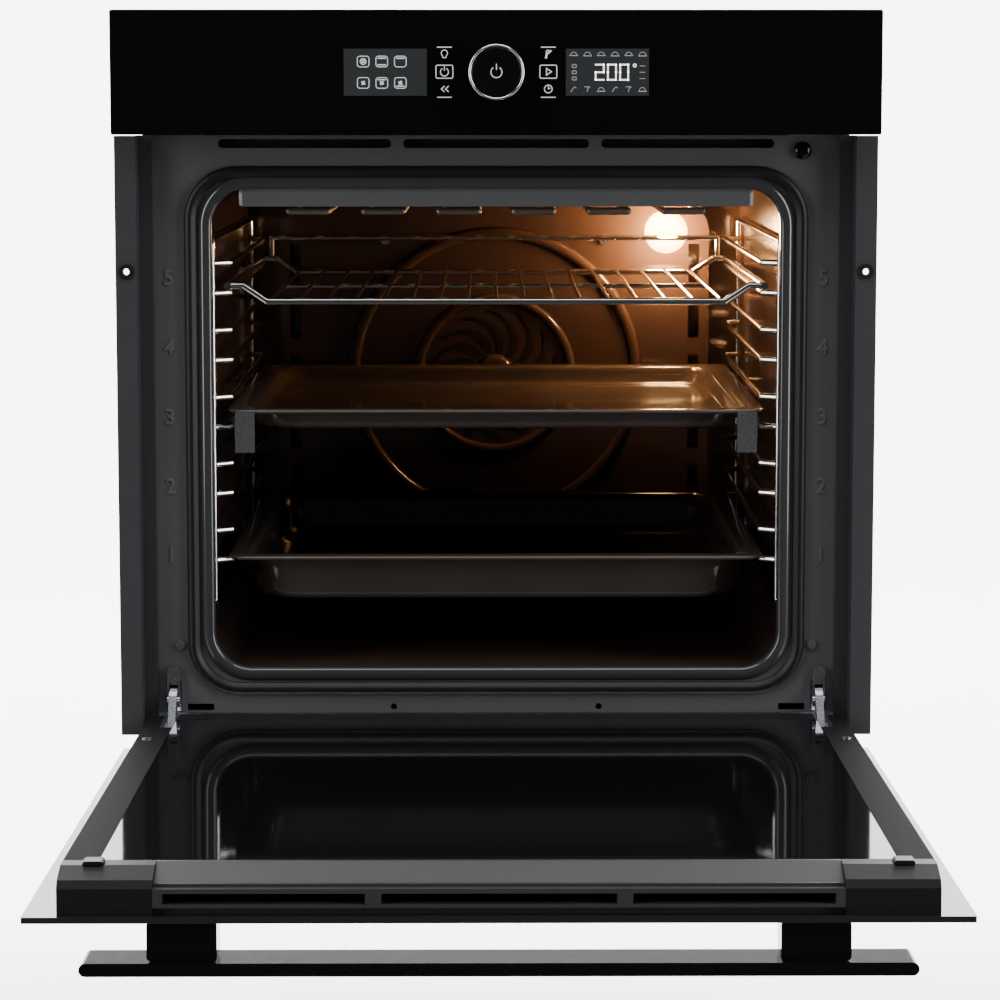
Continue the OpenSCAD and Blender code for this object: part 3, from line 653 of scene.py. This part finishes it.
def arc_slot(name, inner, outer, sweep, width, depth, steps=10):
    """A thin curved patch that stands for a slot in the x-z plane; it starts near the centre and bends as it
    goes out.
    """
    top, bottom = [], []
    for i in range(steps + 1):
        t = i / steps
        r = inner + (outer - inner) * t
        a = sweep * t * t
        w = width * (0.55 + 0.45 * math.sin(math.pi * min(1, t * 1.05)))
        mid = Vector((r * math.cos(a), 0, r * math.sin(a)))
        side = Vector((-math.sin(a), 0, math.cos(a))) * w / 2
        top.append(mid + side)
        bottom.append(mid - side)
    outline = top + bottom[::-1]
    rings = [[(p.x, y, p.z) for p in outline] for y in (0.0, -depth)]
    verts, _ = skin_rings(rings)
    n = len(outline)
    faces = [(k * n + i, k * n + i + 1, k * n + n - 2 - i, k * n + n - 1 - i)
             for i in range(steps) for k in (0, 1)]
    faces += [(i, (i + 1) % n, n + (i + 1) % n, n + i) for i in range(n)]
    return pattern_shape(name, verts, faces)


def disc_ring(name, radii, finish_name, centre, sides=72, body="root"):
    """Rings of (radius, y) round a centre in the x-z plane, skinned."""
    rings = [[(centre[0] + r * math.cos(2 * math.pi * i / sides), y,
               centre[1] + r * math.sin(2 * math.pi * i / sides)) for i in range(sides)]
             for r, y in radii]
    verts, faces = skin_rings(rings + [rings[0]])
    return add_piece(name, mesh_from(name, verts, faces), finish_name, body)


# Painted shade: the dark inlays stand for the shadowed openings of the slots.
vane = arc_slot("vane", inner=0.021, outer=0.061, sweep=0.75, width=0.0075, depth=0.0006)
SLOTS = 14
repeat("grille_slots", vane, [(fan_centre[0], baffle_face, fan_centre[1])] * SLOTS, "slot_painted_shade",
       "root", turn_step=(0, 2 * math.pi / SLOTS, 0))
disc_ring("grille_hub", [(0.003, baffle_face), (0.003, baffle_face - 0.003), (0.015, baffle_face - 0.003),
                         (0.019, baffle_face)], "cavity_enamel", fan_centre)
disc_ring("grille_bead", [(0.066, baffle_face), (0.069, baffle_face - 0.0025),
                          (0.073, baffle_face - 0.0025), (0.076, baffle_face)], "cavity_enamel", fan_centre)
disc_ring("baffle_bead", [(0.126, baffle_face), (0.129, baffle_face - 0.003),
                          (0.135, baffle_face - 0.003), (0.138, baffle_face)], "cavity_enamel", fan_centre)

# %% [markdown]
# ## The rim of the opening
# Inside the gasket the enamelled frame rolls back into the cavity with a soft bright edge, in a
# darker copy of the enamel that is painted shade for the opening. Along the top a plain strip hangs
# down in front of the grill element, in a light grey copy of the enamel that is a painted highlight.

# %% Rolled rim
face_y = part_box("cavity")[0].y - 0.0012
OPENING_HALF, OPENING_Z0, OPENING_Z1 = 0.225, 0.0757, 0.460
rim_z = (OPENING_Z0 + OPENING_Z1) / 2
rim_half = (OPENING_HALF, (OPENING_Z1 - OPENING_Z0) / 2)


def make_rim():
    section = [(0.0095, 0.0), (0.0095, -0.0015), (0.006, -0.0032), (0.002, -0.0036), (-0.0006, -0.002),
               (-0.001, 0.003), (0.0, 0.006), (0.001, 0.003), (0.0015, 0.0)]
    rings = []
    for out, dy in section:
        ring = rounded_ring(rim_half[0] + out, rim_half[1] + out, 0.030 + out, 14)
        rings.append([(px, face_y + dy, rim_z + pz) for px, pz in ring])
    rings.append(rings[0])
    verts, faces = skin_rings(rings)
    # Painted shade: the rim's enamel is darker than the frame's.
    return add_piece("opening_rim", mesh_from("opening_rim", verts, faces), "rim_enamel_painted_shade", "root")


make_rim()


def make_valance():
    z1, z0 = 0.4585, 0.4455
    half = 0.2245
    profile = [(face_y + 0.0028, z1), (face_y + 0.0016, z1 - 0.003), (face_y + 0.002, z0 + 0.004),
               (face_y + 0.0034, z0), (face_y + 0.0046, z0 + 0.0006), (face_y + 0.0040, z1)]
    corner = 0.022
    rings = [[(x, y, z) for y, z in profile]
             for x in (-half + corner, -half * 0.5, 0, half * 0.5, half - corner)]
    verts, faces = skin_rings(rings, close_start=True, close_end=True)
    # Painted highlight: the strip's enamel is light grey where the rim's is dark.
    return add_piece("valance_strip", mesh_from("valance_strip", verts, faces), "valance_painted_highlight", "root",
                     smooth=False)


make_valance()

# %% [markdown]
# ## Shelf numbers
# The levels are embossed in the frame beside the opening, 5 at the top and 1 at the bottom, on
# both sides. Blender's own font gives plain figures; each is made a mesh, stood upright and laid
# on the enamel half a millimetre proud.

# %% Embossed figures
def figure(name, text, height, place, lift, finish_name, body="root", centre=True):
    curve = bpy.data.curves.new(name, "FONT")
    curve.body = text
    curve.size = height * 1.4
    curve.extrude = lift / 2
    curve.bevel_depth = lift / 3
    curve.resolution_u = 4
    curve.align_x = "CENTER" if centre else "LEFT"
    curve.align_y = "CENTER"
    holder = bpy.data.objects.new(name + "_curve", curve)
    bpy.context.scene.collection.objects.link(holder)
    depsgraph = bpy.context.evaluated_depsgraph_get()
    mesh = bpy.data.meshes.new_from_object(holder.evaluated_get(depsgraph))
    bpy.data.objects.remove(holder)
    mesh.transform(Matrix.Translation(place) @ Matrix.Rotation(math.radians(90), 4, "X"))
    mesh.materials.clear()
    mesh.materials.append(finishes[finish_name])
    return add_piece(name, mesh, finish_name, body, smooth=False)


LEVEL_FIRST, LEVEL_PITCH = 0.167, 0.0553
# The figures take a slightly lighter copy of the frame enamel: a painted highlight on their raised faces.
for level in range(1, 6):
    z = LEVEL_FIRST + (level - 1) * LEVEL_PITCH
    for side, side_name in ((-1, "left"), (1, "right")):
        figure(f"level_{level}_{side_name}", str(level), 0.0125, (side * 0.2585, face_y, z), 0.0009,
               "frame_mark_painted_highlight")

# %% [markdown]
# ## Marks on the control panel
# The panel's symbols are printed behind the glass and lit from the board. Each is a few strokes of
# even width, so a small pen draws them as thin raised ribbons: lines, arcs and boxes. Flat curves
# would serve as well, but ribbons join into one mesh per brightness.

# %% The pen
print_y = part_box("control_glass")[0].y
knob_low, knob_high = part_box("knob_ring")
panel_mid = (knob_low.z + knob_high.z) / 2


class Pen:
    """Collects strokes drawn in x and z, in millimetres from the middle of the panel."""

    def __init__(self, lift=0.12):
        self.verts, self.faces, self.lift = [], [], lift

    def patch(self, corners):
        n, start = len(corners), len(self.verts)
        for depth in (0.02, -self.lift):
            self.verts += [(x * MM, print_y + depth * MM, panel_mid + z * MM) for x, z in corners]
        self.faces.append(tuple(range(start + n, start + 2 * n)))
        for i in range(n):
            j = (i + 1) % n
            self.faces.append((start + i, start + j, start + n + j, start + n + i))

    def line(self, a, b, width=0.55):
        a, b = Vector(a), Vector(b)
        along = (b - a).normalized() * width / 2
        side = Vector((-along.y, along.x))
        corners = (a - along - side, b + along - side, b + along + side, a - along + side)
        self.patch([tuple(p) for p in corners])

    def path(self, points, width=0.55):
        for a, b in zip(points, points[1:]):
            self.line(a, b, width)

    def arc(self, centre, radius, start=0, end=360, width=0.55, steps=20):
        angles = [math.radians(start + (end - start) * i / steps) for i in range(steps + 1)]
        spots = [[(centre[0] + r * math.cos(a), centre[1] + r * math.sin(a)) for a in angles]
                 for r in (radius - width / 2, radius + width / 2)]
        for i in range(steps):
            self.patch([spots[0][i], spots[1][i], spots[1][i + 1], spots[0][i + 1]])

    def frame(self, centre, w, h, width=0.55, radius=1.4):
        cx, cz = centre
        for sx, sz, a in ((1, 1, 0), (-1, 1, 90), (-1, -1, 180), (1, -1, 270)):
            self.arc((cx + sx * (w / 2 - radius), cz + sz * (h / 2 - radius)), radius, a, a + 90, width, 6)
        for s in (-1, 1):
            self.line((cx - w / 2 + radius, cz + s * h / 2), (cx + w / 2 - radius, cz + s * h / 2), width)
            self.line((cx + s * w / 2, cz - h / 2 + radius), (cx + s * w / 2, cz + h / 2 - radius), width)

    def make(self, name, finish_name, body="root"):
        mesh = bpy.data.meshes.new(name)
        mesh.from_pydata(self.verts, [], self.faces)
        return add_piece(name, mesh, finish_name, body, smooth=False)


def glow(name, colour, strength):
    material = finish(name, colour, 0.4, grain=900)
    shader = material.node_tree.nodes["Principled BSDF"]
    shader.inputs["Emission Color"].default_value = (*colour, 1)
    shader.inputs["Emission Strength"].default_value = strength
    return material


finishes["lit_white"] = glow("lit_white", (1.0, 1.0, 1.0), 1.3)
finishes["lit_grey"] = glow("lit_grey", (0.62, 0.63, 0.64), 0.55)
finishes["lit_dim"] = glow("lit_dim", (0.34, 0.35, 0.36), 0.25)
finishes["display_glow"] = glow("display_glow", (0.022, 0.024, 0.026), 0.3)

# %% [markdown]
# The two displays glow very faintly, so their edges can just be made out in the black glass.

# %% Display fields
DISPLAY_X, DISPLAY_W, DISPLAY_H = 85.5, 64, 36
fields = Pen(lift=0.04)
for s in (-1, 1):
    cx = s * DISPLAY_X
    fields.patch([(cx - DISPLAY_W / 2, -DISPLAY_H / 2), (cx + DISPLAY_W / 2, -DISPLAY_H / 2),
                  (cx + DISPLAY_W / 2, DISPLAY_H / 2), (cx - DISPLAY_W / 2, DISPLAY_H / 2)])
fields.make("display_fields", "display_glow")

# %% [markdown]
# The left display shows six heating functions as pictograms: a rounded frame each, with bars for
# the heaters that are on and a small cross for the fan.

# %% Function pictograms
functions = Pen()
ICON_W, ICON_H, ICON_DX, ICON_DZ = 9.0, 8.2, 14.3, 16.4


def fan_cross(pen, cx, cz, r, width=0.6):
    for a in (45, 135, 225, 315):
        tip = (cx + r * math.cos(math.radians(a)), cz + r * math.sin(math.radians(a)))
        pen.line((cx, cz), tip, width)
        pen.arc(((cx + tip[0]) / 2, (cz + tip[1]) / 2), r * 0.5, a, a + 110, width, 6)


pictograms = {(0, 0): "fan_ring", (1, 0): "top_bottom", (2, 0): "top", (0, 1): "fan", (1, 1): "fan_top",
              (2, 1): "fan_bottom"}
for (column, row), kind in pictograms.items():
    cx = -DISPLAY_X - 17 + column * ICON_DX
    cz = ICON_DZ / 2 - row * ICON_DZ
    functions.frame((cx, cz), ICON_W, ICON_H, 0.6, 2)
    if "top" in kind:
        functions.line((cx - 2.8, cz + 2.5), (cx + 2.8, cz + 2.5), 0.9)
    if "bottom" in kind:
        functions.line((cx - 2.8, cz - 2.5), (cx + 2.8, cz - 2.5), 0.9)
    if "ring" in kind:
        functions.arc((cx, cz), 2.3, 0, 360, 0.6, 16)
    if "fan" in kind:
        fan_cross(functions, cx, cz, 1.5)
functions.make("function_pictograms", "lit_grey")

# %% [markdown]
# The right display has the set temperature in seven-segment figures. A segment is a short bar, and
# a figure is the list of its lit segments.

# %% Temperature
SEGMENTS = {"a": ((0, 1), (1, 1)), "b": ((1, 0.5), (1, 1)), "c": ((1, 0), (1, 0.5)), "d": ((0, 0), (1, 0)),
            "e": ((0, 0), (0, 0.5)), "f": ((0, 0.5), (0, 1)), "g": ((0, 0.5), (1, 0.5))}
FIGURES = {"2": "abged", "0": "abcdef"}
temperature = Pen(lift=0.16)
FIGURE_W, FIGURE_H, FIGURE_PITCH = 6.2, 11.6, 9.4
for place, figure_name in enumerate("200"):
    left = 76.5 + place * FIGURE_PITCH
    for segment in FIGURES[figure_name]:
        (x0, z0), (x1, z1) = SEGMENTS[segment]
        temperature.line((left + x0 * FIGURE_W, (z0 - 0.5) * FIGURE_H),
                         (left + x1 * FIGURE_W, (z1 - 0.5) * FIGURE_H), 1.15)
temperature.arc((106.5, 5.2), 1.1, 0, 360, 0.7, 12)
temperature.make("temperature_figures", "lit_white")

# %% Small display symbols
symbols = Pen()
for i in range(6):
    x = DISPLAY_X - 26 + i * 10.6
    dish = 12.8
    symbols.arc((x, dish), 2.6, 0, 180, 0.5, 10)
    symbols.line((x - 3, dish - 0.3 * (i % 2)), (x + 3, dish - 0.3 * (i % 2)), 0.7)
    low = -13.0
    if i % 3 == 0:
        symbols.path([(x - 2, low - 1.8), (x + 0.5, low + 1.8), (x + 2, low + 1)], 0.6)
    elif i % 3 == 1:
        symbols.path([(x - 2, low + 1.8), (x + 2, low + 1.8), (x, low), (x, low - 1.8)], 0.6)
    else:
        symbols.arc((x, low - 1), 2.3, 0, 180, 0.5, 10)
        symbols.line((x - 2.8, low - 1.6), (x + 2.8, low - 1.6), 0.8)
for k in (-1, 0, 1):
    symbols.frame((DISPLAY_X - 25.5, k * 4.8), 3.2, 2.2, 0.7, 0.5)
    symbols.line((110.5, k * 4.8), (114.5, k * 4.8), 0.5)
symbols.make("display_symbols", "lit_dim")

# %% [markdown]
# Between each display and the knob stand three touch keys, closed off by a line above and below.

# %% Touch keys
keys = Pen()
for column in (-40, 40):
    for end in (-19.2, 19.2):
        keys.line((column - 5.4, end), (column + 5.4, end), 0.7)
    keys.frame((column, 0.4), 13, 10, 0.7, 1.2)
keys.arc((-40, 14.6), 2.4, -50, 230, 0.6, 16)
keys.line((-41.2, 11.2), (-38.8, 11.2), 0.6)
keys.path([(-41.5, 12.7), (-41.2, 11.2)], 0.6)
keys.path([(-38.5, 12.7), (-38.8, 11.2)], 0.6)
keys.arc((-40, 0.2), 3.1, 120, 420, 0.7, 20)
keys.line((-40, 1.4), (-40, 4.2), 0.7)
for shift in (-1.6, 1.6):
    keys.path([(-38.6 + shift, -10.8), (-40.8 + shift, -12.8), (-38.6 + shift, -14.8)], 0.7)
keys.path([(38.2, 11.2), (38.8, 14.0), (41.6, 16.2)], 1.5)
keys.arc((39.6, 15.6), 1.3, 0, 360, 0.7, 12)
keys.path([(38.6, -2.2), (42.4, 0.4), (38.6, 3.0), (38.6, -2.2)], 0.8)
keys.arc((40, -12.8), 3.0, 0, 360, 0.7, 20)
keys.path([(40, -10.8), (40, -12.8), (41.5, -12.2)], 0.6)
keys.make("touch_keys", "lit_grey")

# %% [markdown]
# ## The knob
# A turned ring with a fine bright edge holds a black cap with a shallow dish. Both are lathed from
# a profile of radius and depth. A broken ring and a short stroke stand where a maker would print a mark.

# %% Lathed knob
knob_y = knob_low.y
KNOB_R = (knob_high.x - knob_low.x) / 2


def lathe(name, profile, finish_name, node, hollow=False, sides=96):
    """Spins (radius, distance behind the front of the ring) round the knob's axis."""
    angles = [2 * math.pi * i / sides for i in range(sides)]
    rings = [[(r * math.cos(a), knob_y + d, panel_mid + r * math.sin(a)) for a in angles]
             for r, d in profile]
    if hollow:
        verts, faces = skin_rings(rings + [rings[0]])
    else:
        verts, faces = skin_rings(rings, close_start=True, close_end=True)
    obj = add_piece(name, mesh_from(name, verts, faces), finish_name, "knob")
    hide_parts(node)
    return obj


ring_profile = [(KNOB_R - 0.0022, 0.0006), (KNOB_R - 0.0014, 0), (KNOB_R - 0.0005, 0.0001),
                (KNOB_R, 0.0009), (KNOB_R, 0.0112), (KNOB_R - 0.0004, 0.0114),
                (KNOB_R - 0.0021, 0.0114), (KNOB_R - 0.0022, 0.011)]
lathe("knob_bright_ring", ring_profile, "bright_ring", "knob_ring", hollow=True)
cap_r = KNOB_R - 0.0023
cap_profile = [(0.0005, 0.0019), (cap_r * 0.5, 0.0016), (cap_r * 0.8, 0.0010),
               (cap_r - 0.0012, 0.0004), (cap_r - 0.0003, 0.0007), (cap_r, 0.0014), (cap_r, 0.0118),
               (cap_r - 0.001, 0.0124), (0.0065, 0.0124), (0.0065, 0.022), (0.0032, 0.022),
               (0.0031, 0.006)]
lathe("knob_cap", cap_profile, "gloss_plastic", "knob")
mark = Pen()
mark.arc((0, 0), 4.2, 125, 415, 0.7, 24)
mark.line((0, 2.0), (0, 6.0), 0.7)
mark_obj = mark.make("knob_mark", "lit_grey", "knob")
mark_obj.data.transform(Matrix.Translation((0, knob_y - print_y + 0.0016, 0)))

# %% [markdown]
# ## On the door
# The two stop pads at the door's top corners are drawn for the closed door and then turned with
# the hinge joint's pivot and range, so that they land on the open door exactly as the CAD pieces do.

# %% Turn from closed to open
door_joint = next(j for j in frame["joints"] if j["name"] == "door_hinge")
pivot = Vector(door_joint["pos_m"])
swing = math.radians(door_joint["range_deg"][1])
OPENED = Matrix.Translation(pivot) @ Matrix.Rotation(swing, 4, "X") @ Matrix.Translation(-pivot)
DOOR_TOP = 0.499
print("door opens", door_joint["range_deg"][1], "degrees")


def door_box(name, low, high, finish_name, bevel):
    size = [b - a for a, b in zip(low, high)]
    centre = [(a + b) / 2 for a, b in zip(low, high)]
    pad = pattern_shape(name, *box_shape(size, centre), bevel=bevel)
    pad.data.transform(OPENED)
    return add_piece(name, pad.data, finish_name, "door", smooth=False)


for side, name in ((-1, "left"), (1, "right")):
    x0, x1 = sorted((side * 0.2485, side * 0.2615))
    door_box(f"stop_pad_{name}", (x0, 0.0115, DOOR_TOP - 0.031), (x1, 0.0145, DOOR_TOP - 0.018),
             "silicone", 0.0008)
